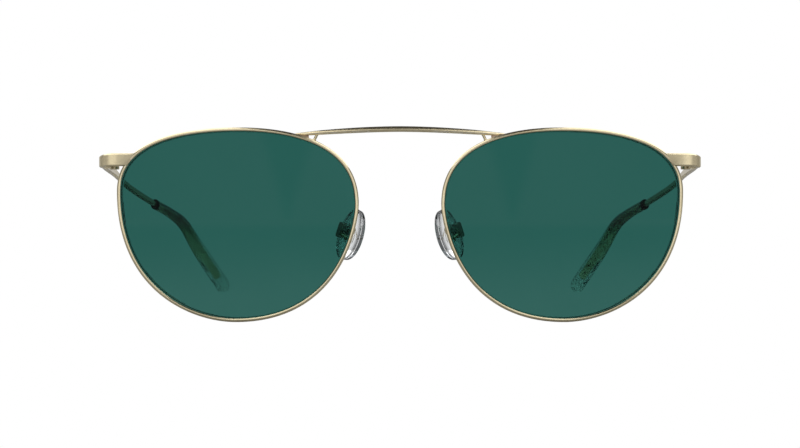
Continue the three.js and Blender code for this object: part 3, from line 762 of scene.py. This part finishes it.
def lens():
    """A dished blank with a flat edge and a bevel that sits in the groove."""
    half = LENS_THICKNESS / 2
    stations = RIM_STATIONS[:-1:2]
    shares = (0.01, 0.08, 0.18, 0.3, 0.42, 0.54, 0.66, 0.77, 0.87, 0.94)

    def face(depth):
        return [
            [on_lens_curve(point.x * share, point.y * share, depth) for point, _ in stations]
            for share in shares
        ]

    def edge(out, depth):
        return [rim_point(station, out, depth) for station in stations]

    bevel = GROOVE_HALF - PLAY
    rounding = LENS_EDGE_ROUNDING
    return loft([
        *face(-half),
        edge(-PLAY - rounding, -half),
        edge(-PLAY, -half + rounding),
        edge(-PLAY, -bevel),
        edge(GROOVE_DEPTH - 2 * PLAY, 0),
        edge(-PLAY, bevel),
        edge(-PLAY, half - rounding),
        edge(-PLAY - rounding, half),
        *reversed(face(half)),
    ])


RIM_MIDDLE = [rim_point(station, RIM_WIDTH / 2, 0) for station in RIM_STATIONS]
RIM_OUTSIDE = [rim_point(station, RIM_WIDTH, 0) for station in RIM_STATIONS]


def rim_x_at(z):
    """x of the middle of the rim at a height, on its upper temporal side."""
    temporal_side = LENS_CENTRE_X + 15
    near = [point for point in RIM_MIDDLE if point.x > temporal_side]
    return min(near, key=lambda point: abs(point.z - z)).x


def rim_top_at(x):
    """The outer edge of the rim above a place on its nasal half."""
    above = [point for point in RIM_OUTSIDE if point.z > LENS_CENTRE_Z]
    return min(above, key=lambda point: abs(point.x - x))


# ---------------------------------------------------------------- end piece and rim lock


def scribed(ring):
    """A ring moved along x so that it ends inside the rim, whatever the rim's slope."""
    return [Vector((rim_x_at(point.z), point.y, point.z)) for point in ring]


def end_piece():
    """The flat bar from the rim, round the corner and back to the hinge."""
    corner_x = TEMPLE_X - CORNER_RADIUS
    corner_y = BAR_FRONT_Y + CORNER_RADIUS

    def section(x, y, facing):
        turned = smoothstep(facing, 0, math.pi / 2)
        height = blended(BAR_HEIGHT, TEMPLE_HEIGHT, turned)
        outwards = Vector((math.sin(facing), -math.cos(facing), 0))
        middle = Vector((x, y, BAR_Z - END_PIECE_DROP * turned))
        return placed(chamfered_rectangle(BAR_THICKNESS, height, BAR_CHAMFER), middle, outwards, UPWARDS)

    rings = [
        scribed(section(0, BAR_FRONT_Y + END_PIECE_INSET, 0)),
        section(corner_x - CORNER_LEAD, BAR_FRONT_Y, 0),
    ]
    for facing in spaced(0, math.pi / 2, 17):
        x = corner_x + CORNER_RADIUS * math.sin(facing)
        y = corner_y - CORNER_RADIUS * math.cos(facing)
        rings.append(section(x, y, facing))
    rings.append(temple_ring(-2 * PLAY, chamfered_rectangle(BAR_THICKNESS, TEMPLE_HEIGHT, BAR_CHAMFER)))
    return loft(rings)


def lock_block(low, high):
    """Half of the rim lock, fixed to one end of the slit rim, with the bore for its screw."""
    x, y = LOCK["x"], LOCK["y"]
    outer_x = x + LOCK["width"] / 2
    front, rear = y - LOCK["depth"] / 2, y + LOCK["depth"] / 2
    corners = ((front, low), (rear, low), (rear, high), (front, high))
    outer = [Vector((outer_x, *corner)) for corner in corners]
    bore = post(LOCK_SCREW_RADIUS + PLAY, low - BORE_PAST, high + BORE_PAST)
    moved(bore, Matrix.Translation((x, y, 0)))
    return combined(loft([scribed(outer), outer]), [bore], "DIFFERENCE")


def screw(shaft_radius, shaft_length, head):
    """A slotted screw along +Z with the underside of its head at z = 0."""
    head_radius, head_height = head
    body = lathe([
        (shaft_radius * 0.7, -shaft_length),
        (shaft_radius, -shaft_length + shaft_radius * 0.3),
        (shaft_radius, 0),
        (head_radius * 0.96, 0),
        (head_radius, head_height * 0.08),
        (head_radius, head_height * 0.55),
        (head_radius * 0.93, head_height * 0.82),
        (head_radius * 0.78, head_height * 0.97),
        (head_radius * 0.5, head_height),
    ])
    half = head_radius * 0.16
    low = (-head_radius * 1.2, -half, head_height * 0.45)
    high = (head_radius * 1.2, half, head_height * 1.5)
    return combined(body, [box_between(low, high)], "DIFFERENCE")


# ---------------------------------------------------------------- hinge


def knuckle_levels():
    """(bottom, top) of the three knuckles, from the lowest up."""
    low = HINGE_BOTTOM_Z
    levels = []
    for height in KNUCKLE_HEIGHTS:
        levels.append((low, low + height))
        low += height + PLAY
    return levels


def hinge_leaf(knuckles, back, others):
    """A leaf and its knuckles, clear of the other leaf's. back is 1 for the temple's, -1 in front."""
    wall = TEMPLE_X - BAR_THICKNESS / 2 - FIT - HINGE_X
    near = KNUCKLE_RADIUS + PLAY
    front, rear = sorted((back * near, back * (near + LEAF_LENGTH)))
    bottom, top = HINGE_BOTTOM_Z + LEAF_INSET, HINGE_TOP_Z - LEAF_INSET
    plate = box_between((wall - LEAF_THICKNESS, front, bottom), (wall, rear, top))
    parts = []
    for low, high in knuckles:
        neck_front, neck_rear = sorted((0, back * (near + NECK_OVERLAP)))
        parts.append(box_between(
            (wall - LEAF_THICKNESS, neck_front, max(low, bottom)),
            (KNUCKLE_RADIUS - NECK_INSET, neck_rear, min(high, top)),
        ))
        parts.append(post(KNUCKLE_RADIUS, low, high, KNUCKLE_CHAMFER))
    leaf = combined(plate, parts, "UNION")
    bore_radius = HINGE_SCREW_RADIUS + PLAY
    cutters = [post(bore_radius, HINGE_BOTTOM_Z - BORE_PAST, HINGE_TOP_Z + BORE_PAST)]
    gap = PLAY * 0.9  # a little less than the play, so that it doesn't touch the leaf's own knuckles
    for low, high in others:
        cutters.append(post(near, low - gap, high + gap))
    leaf = combined(leaf, cutters, "DIFFERENCE")
    return moved(leaf, Matrix.Translation((HINGE_X, HINGE_Y, 0)))


# ---------------------------------------------------------------- temple

TEMPLE = Route(smooth_route(TEMPLE_ROUTE))
TABLE_Z = -SHIFT.z / MM


def temple_frame(distance):
    """(point, along, outwards, upwards) on the temple, with upright sections."""
    if 0 <= distance <= TEMPLE.length:
        point, along = TEMPLE.smooth_at(distance, TEMPLE_SPREAD)
    else:
        point, along = TEMPLE.at(distance)
    outwards = along.cross(UPWARDS).normalized()
    return point, along, outwards, outwards.cross(along)


def temple_ring(distance, section):
    point, _, outwards, upwards = temple_frame(distance)
    return placed(section, point, outwards, upwards)


def temple_arm():
    """The flat bar thins to a wire, and the wire runs on as a round core inside the tip."""
    rings = []
    for distance in spaced(0, MOUTH, 70):
        slender = smoothstep(distance, PADDLE_START, PADDLE_END)
        height = blended(TEMPLE_HEIGHT, WIRE_HEIGHT, slender)
        rings.append(temple_ring(distance, chamfered_rectangle(TEMPLE_WIDTH, height, BAR_CHAMFER)))
    for distance in spaced(MOUTH + 1, TEMPLE.length - CORE_SHORT_OF_END, 60):
        rings.append(temple_ring(distance, ellipse(CORE_RADIUS, CORE_RADIUS, 8)))
    return loft(rings)


def tip_radius(distance):
    """The tip swells towards its rounded end."""
    along = (distance - MOUTH) / (TEMPLE.length - MOUTH)
    radius = blended(TIP_RADIUS_FRONT, TIP_RADIUS_END, smoothstep(along, *TIP_SWELL))
    from_end = min(max(TEMPLE.length - distance, 0) / TIP_RADIUS_END, 1)
    from_mouth = min((distance - MOUTH) / MOUTH_ROUNDING, 1)
    end_share = math.sqrt(1 - (1 - from_end) ** 2)
    mouth_share = 1 - MOUTH_NARROWING * (1 - math.sqrt(1 - (1 - from_mouth) ** 2))
    smallest_share = 0.03
    return radius * max(end_share * mouth_share, smallest_share)


def temple_tip():
    """The clear tip, moulded round the core, with the flat that it stands on."""
    ends = [TIP_RADIUS_END * (1 - math.cos(angle)) for angle in spaced(0, math.pi / 2, 14)]
    distances = [MOUTH + MOUTH_ROUNDING * (1 - math.cos(angle)) for angle in spaced(0, math.pi / 2, 6)]
    distances += spaced(MOUTH + 0.6, TEMPLE.length - TIP_RADIUS_END - 0.2, 80)
    distances += [TEMPLE.length - gap for gap in reversed(ends)]
    rings = []
    for distance in distances:
        radius = tip_radius(distance)
        rings.append(temple_ring(distance, ellipse(radius * TIP_FLATNESS, radius, 36)))
    x, y, _ = temple_frame(TEMPLE.length)[0]
    reach = 20
    below = box_between((x - reach, y - reach, TABLE_Z - reach), (x + reach, y + reach, TABLE_Z))
    return combined(loft(rings), [below], "DIFFERENCE")


def tip_collar():
    """The dark ring where the arm enters the tip, rounded at both ends."""
    start = MOUTH - COLLAR_LENGTH - FIT
    profile = [  # distance from the start, and share of the radius
        (0, 0.62),
        (0.02, 0.78),
        (0.12, 0.92),
        (0.3, 1),
        (COLLAR_LENGTH - 0.15, 1),
        (COLLAR_LENGTH - 0.04, 0.96),
        (COLLAR_LENGTH, 0.86),
    ]
    rings = []
    for gap, share in profile:
        radius = COLLAR_RADIUS * share
        rings.append(temple_ring(start + gap, ellipse(radius * COLLAR_FLATNESS, radius, 36)))
    return loft(rings)


# ---------------------------------------------------------------- bridge


def bridge_stations(count):
    """(point, half thickness) along the whole bridge, from the wearer's right to the left."""
    right = [(-x, y, z, half) for x, y, z, half in reversed(BRIDGE_ROUTE)]
    whole = right + list(BRIDGE_ROUTE[1:])
    line = smooth_route([station[:3] for station in whole])
    thickness = smooth_route([(station[0], station[3], 0) for station in whole])
    stations = []
    for place in spaced(0, len(line) - 1, count):
        point = line[round(place)]
        nearest = min(thickness, key=lambda known: abs(known.x - point.x))
        stations.append((point, nearest.y))
    return stations


def bridge_bar():
    """The slim bow from rim to rim, deeper from front to back than it is tall."""
    rings = []
    for point, half in bridge_stations(121):
        section = ellipse(half * BRIDGE_DEPTH_RATIO, half, 28)
        rings.append(placed(section, point, Vector((0, 1, 0)), UPWARDS))
    return loft(rings)


def bridge_solder():
    """The web of brazing that fills the wedge between the end of the bar and the rim."""
    bar = [point for point, _ in bridge_stations(241)]
    rings = []
    for x in spaced(*SOLDER_SPAN, 16):
        above = min(bar, key=lambda point: abs(point.x - x))
        below = rim_top_at(x)
        fullness = smoothstep(x, SOLDER_SPAN[0], SOLDER_SPAN[0] + SOLDER_RUN_IN)
        inset = blended(SOLDER_THIN, 1, fullness)
        ring = []
        for side in (-1, 1):
            for share in spaced(0, 1, 7)[::side]:
                middle = above.lerp(below - UPWARDS * SOLDER_SUNK, share)
                half = inset * (SOLDER_WAIST + SOLDER_FOOT * (2 * share - 1) ** 2)
                ring.append(Vector((x, middle.y + side * half, middle.z)))
        rings.append(ring)
    return loft(rings)


def bridge_strut():
    """A short wire whose ends flare into their solder."""
    route = Route([Vector(point) for point in STRUT_ENDS])

    def section(distance):
        to_end = min(distance, route.length - distance)
        radius = STRUT_RADIUS + STRUT_FLARE * (1 - smoothstep(to_end, *STRUT_FLARED))
        return ellipse(radius, radius, 20)

    return tube(route, spaced(0, route.length, 25), section)


# ---------------------------------------------------------------- nose pads

PAD_PLACING = (
    Matrix.Translation(PAD_SCREW)
    @ Matrix.Rotation(-PAD_TILT, 4, "Y")
    @ Matrix.Rotation(-PAD_SPLAY, 4, "Z")
)
ACROSS_BOX = Matrix.Rotation(math.pi / 2, 4, "X")  # turns a post into the line of the pad's screw


def pad_ring(height, share, sides=56):
    """The pad's outline, a rounded drop, at a height above its mounting side."""
    ring = []
    for i in range(sides):
        angle = 2 * math.pi * i / sides
        up = math.sin(angle)
        width = PAD_WIDTH * (1 - PAD_TAPER * up)
        across = share * width * math.cos(angle) / 2
        ring.append(Vector((-PAD_BACK - height, across, share * PAD_LENGTH * up / 2 - PAD_CENTRE_DROP)))
    return ring


def nose_pad():
    """A soft drop with a rounded back edge, a fine groove round its side and a crowned front."""
    rings = []
    back_share = 0.72
    for angle in spaced(math.pi / 2, 0, 8):
        height = PAD_EDGE_RADIUS * (1 - math.sin(angle))
        rings.append(pad_ring(height, blended(back_share, 1, math.cos(angle))))
    for height, share in PAD_GROOVE:
        rings.append(pad_ring(height, share))
    shoulder, widest = PAD_GROOVE[-1]
    rise = PAD_THICKNESS - shoulder
    for share in PAD_CROWN_SHARES:
        rings.append(pad_ring(shoulder + rise * (1 - share**3) ** (1 / 3), share * widest))
    return moved(loft(rings), PAD_PLACING)


def rounded_block(low, high, radius):
    """A block along x whose section in y and z has round corners."""
    near_y, far_y = low[1] + radius, high[1] - radius
    near_z, far_z = low[2] + radius, high[2] - radius
    centres = ((far_y, far_z), (near_y, far_z), (near_y, near_z), (far_y, near_z))
    section = []
    for quarter, (y, z) in enumerate(centres):
        for turn in spaced(0, math.pi / 2, 7):
            angle = turn + quarter * math.pi / 2
            section.append((y + radius * math.cos(angle), z + radius * math.sin(angle)))
    return loft([[Vector((x, y, z)) for y, z in section] for x in (low[0], high[0])])


def pad_insert():
    """The plate moulded into the pad, and the boss that the screw goes through."""
    wide = PAD_PLATE["half_width"]
    plate = rounded_block(
        (-PAD_BACK - PAD_PLATE["front"], -wide, PAD_PLATE["bottom"]),
        (-PAD_BACK - PAD_PLATE["back"], wide, PAD_PLATE["top"]),
        PAD_PLATE["corner"],
    )
    half_width, half_height = PAD_BOSS["half_width"], PAD_BOSS["half_height"]
    boss = box_between(
        (-PAD_BACK - PAD_BOSS["sunk"], -half_width, -half_height),
        (PAD_BOSS["end"], half_width, half_height),
    )
    bore = moved(post(PAD_SCREW_RADIUS + PLAY, -PAD_BORE_REACH, PAD_BORE_REACH), ACROSS_BOX)
    joined = combined(plate, [boss], "UNION")
    return moved(combined(joined, [bore], "DIFFERENCE"), PAD_PLACING)


def pad_box():
    """A small cup with round corners, open towards the pad, with the bore for its screw across it."""
    depth, width, height, wall = (BOX[key] for key in ("depth", "width", "height", "wall"))
    low, high = BOX["open"], BOX["open"] + depth
    shell = rounded_block(
        (low, -width / 2, -height / 2),
        (high, width / 2, height / 2),
        BOX_CORNER_RADIUS,
    )
    cavity = rounded_block(
        (low - BORE_PAST, -width / 2 + wall, -height / 2 + wall),
        (high - wall, width / 2 - wall, height / 2 - wall),
        CAVITY_CORNER_RADIUS,
    )
    bore = moved(post(PAD_SCREW_RADIUS + FIT, -PAD_BORE_REACH, PAD_BORE_REACH), ACROSS_BOX)
    return moved(combined(shell, [cavity, bore], "DIFFERENCE"), PAD_PLACING)


def pad_screw():
    """The screw across the box, with its head on the side that faces back."""
    to_side = Matrix.Translation((0, BOX["width"] / 2 + FIT, 0))
    shaft_length = BOX["width"] + 0.1
    placing = PAD_PLACING @ to_side @ ACROSS_BOX.inverted()
    return moved(screw(PAD_SCREW_RADIUS, shaft_length, PAD_SCREW_HEAD), placing)


def rim_back_y():
    """How far back the rim reaches where the pad arm is soldered to it."""
    start = Vector(PAD_ARM_ROUTE[0])
    middle = RIM_WIDTH / 2

    def gap(station):
        return (rim_point(station, middle, 0) - start).length

    nearest = min(RIM_STATIONS, key=gap)
    return rim_point(nearest, middle, RIM_DEPTH / 2).y


def pad_arm():
    """The goose neck from the back of the rim to the side of the box that faces forward."""
    x, z = PAD_ARM_END
    side_of_box = -BOX["width"] / 2
    beside_box = PAD_PLACING @ Vector((x, side_of_box - PAD_ARM_BESIDE, z))
    inside_box = PAD_PLACING @ Vector((x, side_of_box + PAD_ARM_INSIDE, z))
    whole = smooth_route([*PAD_ARM_ROUTE, beside_box, inside_box])
    start_y = rim_back_y() - 0.1
    past_start_z = PAD_ARM_ROUTE[1][2]
    route = Route([point for point in whole if point.y > start_y or point.z < past_start_z])

    def section(distance):
        radius = PAD_WIRE_RADIUS + PAD_WIRE_FLARE * (1 - smoothstep(distance, *PAD_WIRE_FLARED))
        return ellipse(radius, radius, 20)

    return tube(route, spaced(0, route.length, 80), section)


# ---------------------------------------------------------------- assembly


def make_rim_lock(front):
    """The two blocks that close the slit rim, and their screw."""
    upper_low = BAR_Z + RIM_SLIT / 2
    upper_high = upper_low + LOCK["height"]
    lower_high = BAR_Z - RIM_SLIT / 2
    lower_low = lower_high - LOCK["height"] - LOCK["lower_extra"]
    front("rim_lock_upper_block", lock_block(upper_low, upper_high), GOLD, edge=0.08)
    front("rim_lock_lower_block", lock_block(lower_low, lower_high), GOLD, edge=0.08)
    lock_screw = screw(LOCK_SCREW_RADIUS, LOCK["height"] * 2 + 0.2, LOCK_SCREW_HEAD)
    moved(lock_screw, Matrix.Translation((LOCK["x"], LOCK["y"], upper_high + FIT)))
    front("rim_lock_screw", lock_screw, STEEL, slot="steel")


def make_hinge_front(front):
    """The hinge leaf with two knuckles, and the screw through all three."""
    lower, middle, upper = knuckle_levels()
    front("hinge_front_leaf", hinge_leaf([lower, upper], -1, [middle]), HINGE_GOLD_PAINTED_SHADE, edge=0.05)
    hinge_screw = screw(HINGE_SCREW_RADIUS, HINGE_TOP_Z - HINGE_BOTTOM_Z, HINGE_SCREW_HEAD)
    moved(hinge_screw, Matrix.Translation((HINGE_X, HINGE_Y, HINGE_TOP_Z + FIT)))
    front("hinge_screw", hinge_screw, STEEL, slot="steel")


def make_front(side):
    """Everything on one half of the front frame."""
    front = partial(stand_in, side, "front_frame")
    front("rim", rim(), GOLD)
    front("lens", lens(), LENS, slot="green_lens", sharp=30)
    front("end_piece", end_piece(), GOLD, edge=0.05)
    front("bridge_strut", bridge_strut(), GOLD)
    front("pad_arm", pad_arm(), GOLD)
    front("pad_box", pad_box(), STEEL, slot="steel", edge=0.07)
    front("pad_screw", pad_screw(), STEEL, slot="steel")
    make_rim_lock(front)
    make_hinge_front(front)
    finished_piece(f"{side}_bridge_solder", bridge_solder(), SOLDER, side, "front_frame")


def make_temple(side):
    """Everything that folds with the arm."""
    temple = partial(stand_in, side, f"{side}_temple")
    lower, middle, upper = knuckle_levels()
    temple("hinge_temple_leaf", hinge_leaf([middle], 1, [lower, upper]), HINGE_GOLD_PAINTED_SHADE, edge=0.05)
    temple("temple_arm", temple_arm(), GOLD, edge=0.05)
    temple("tip_collar", tip_collar(), RUBBER, slot="dark_collar")
    temple("temple_tip", temple_tip(), ACETATE, slot="clear_acetate")


def make_pad(side):
    """The soft pad and the metal inside it, which rock together."""
    pad = partial(stand_in, side, f"{side}_pad")
    pad("nose_pad", nose_pad(), SILICONE, slot="clear_silicone")
    pad("pad_insert", pad_insert(), STEEL, slot="steel", edge=0.08)


for side in SIDES:
    make_front(side)
    make_temple(side)
    make_pad(side)
finished_piece("bridge_bar_fine", bridge_bar(), GOLD, "middle", "front_frame", "bridge_bar")

# ---------------------------------------------------------------- floor, light and camera

WHITE = 1.0
FLOOR_REACH = 3  # in metres, like all lengths from here to the camera's place
FLOOR_GREY = 0.38
FLOOR_FADE = (0.25, 1.1)  # how far out the grey floor turns into a glowing one
FLOOR_GLOW_REACH = 0.6  # how far forwards and back the glow changes
BACK_LIGHT = 0.55
FRONT_LIGHT = 1.08
SIDE_LIGHT = 0.3
BEHIND = (0.3, 0.9)  # the ranges of Y that count as behind and as in front, and of Z as overhead
BEFORE = (-0.97, -0.6)
OVERHEAD = (-0.15, 0.1)
CEILING_LIGHT = 0.06
CEILING_SPREAD = 3.5  # how fast the dark ceiling rises away from the middle
PANEL_LIGHT = 1.5
PANEL_SIZE = (0.3, 0.6)
PANEL_INNER_EDGE = 0.07
PANEL_HEIGHT = 0.3
CAMERA_PLACE = (0, -570, 37.5)  # in mm, in the drawing frame
CAMERA_PITCH = math.radians(1.5)
FOCAL_LENGTH = 111.6
SENSOR_WIDTH = 36
CLIP_START = 0.01


def make_floor():
    """A plain pale floor: white to look at, and a grey one to the metal that it lights."""
    mesh = bmesh.new()
    corners = []
    for x, y in ((-1, -1), (1, -1), (1, 1), (-1, 1)):
        corners.append(mesh.verts.new((x * FLOOR_REACH, y * FLOOR_REACH, CAD_BOX[0].z)))
    mesh.faces.new(corners)
    floor = mesh_object(mesh, "studio_floor")
    material = bpy.data.materials.new("pale_floor")
    material.use_nodes = True
    nodes = Nodes(material.node_tree)
    material.node_tree.nodes.remove(material.node_tree.nodes["Principled BSDF"])
    where = nodes.add("ShaderNodeTexCoord").outputs["Object"]
    from_middle = nodes.add("ShaderNodeVectorMath", operation="LENGTH")
    nodes.link(where, from_middle.inputs[0])
    distant = nodes.ranged(from_middle.outputs["Value"], *FLOOR_FADE, 0, 1)
    back = nodes.split(where)["Y"]
    level = nodes.ranged(back, -FLOOR_GLOW_REACH, FLOOR_GLOW_REACH, FRONT_LIGHT, BACK_LIGHT)
    grey = nodes.add("ShaderNodeBsdfDiffuse")
    grey.inputs["Color"].default_value = (FLOOR_GREY, FLOOR_GREY, FLOOR_GREY, 1)
    lighting = nodes.blend(distant, grey.outputs[0], nodes.glow(level))
    surface = nodes.blend(nodes.looked_at(), lighting, nodes.glow(WHITE))
    nodes.link(surface, material.node_tree.nodes["Material Output"].inputs["Surface"])
    floor.data.materials.append(material)


def make_world():
    """White to look at. What lights the metal is darker behind, at the sides and overhead."""
    world = bpy.data.worlds.new("studio")
    world.use_nodes = True
    bpy.context.scene.world = world
    nodes = Nodes(world.node_tree)
    background = world.node_tree.nodes["Background"]
    direction = nodes.split(nodes.add("ShaderNodeTexCoord").outputs["Generated"])
    behind = nodes.ranged(direction["Y"], *BEHIND, SIDE_LIGHT, BACK_LIGHT)
    before = nodes.ranged(direction["Y"], *BEFORE, FRONT_LIGHT - SIDE_LIGHT, 0)
    level = nodes.maths("ADD", behind, before)
    aside = nodes.maths("MULTIPLY", nodes.maths("ABSOLUTE", direction["X"]), CEILING_SPREAD)
    upward = nodes.ranged(nodes.maths("SUBTRACT", direction["Z"], aside), *OVERHEAD, 0, 1)
    above = nodes.maths("MULTIPLY", upward, CEILING_LIGHT)
    beside = nodes.maths("MULTIPLY", level, nodes.maths("SUBTRACT", 1.0, upward))
    looked_at = nodes.looked_at()
    unseen = nodes.maths("SUBTRACT", 1.0, looked_at)
    lighting = nodes.maths("MULTIPLY", nodes.maths("ADD", above, beside), unseen)
    shown = nodes.maths("MULTIPLY", looked_at, WHITE)
    nodes.link(nodes.maths("ADD", shown, lighting), background.inputs["Strength"])
    background.inputs["Color"].default_value = (1, 1, 1, 1)


def make_lamps():
    """A soft panel over each half of the glasses, with a dark gap between the two."""
    width, length = PANEL_SIZE
    for side, sign in SIDES.items():
        data = bpy.data.lights.new(f"{side}_panel", "AREA")
        data.shape = "RECTANGLE"
        data.size = width
        data.size_y = length
        data.energy = PANEL_LIGHT * math.pi * width * length
        lamp = bpy.data.objects.new(f"{side}_panel", data)
        bpy.context.scene.collection.objects.link(lamp)
        lamp.location = (sign * (PANEL_INNER_EDGE + width / 2), SHIFT.y, PANEL_HEIGHT)
        lamp.visible_camera = False


def make_camera():
    """The camera in front of the glasses, at the height of the end pieces."""
    data = bpy.data.cameras.new("camera")
    data.lens = FOCAL_LENGTH
    data.sensor_width = SENSOR_WIDTH
    data.clip_start = CLIP_START
    camera = bpy.data.objects.new("camera", data)
    bpy.context.scene.collection.objects.link(camera)
    camera.location = Vector(CAMERA_PLACE) * MM + SHIFT
    camera.rotation_euler = (math.pi / 2 - CAMERA_PITCH, 0, 0)
    bpy.context.scene.camera = camera


make_floor()
make_world()
make_lamps()
make_camera()
bpy.context.scene.view_settings.view_transform = "Standard"
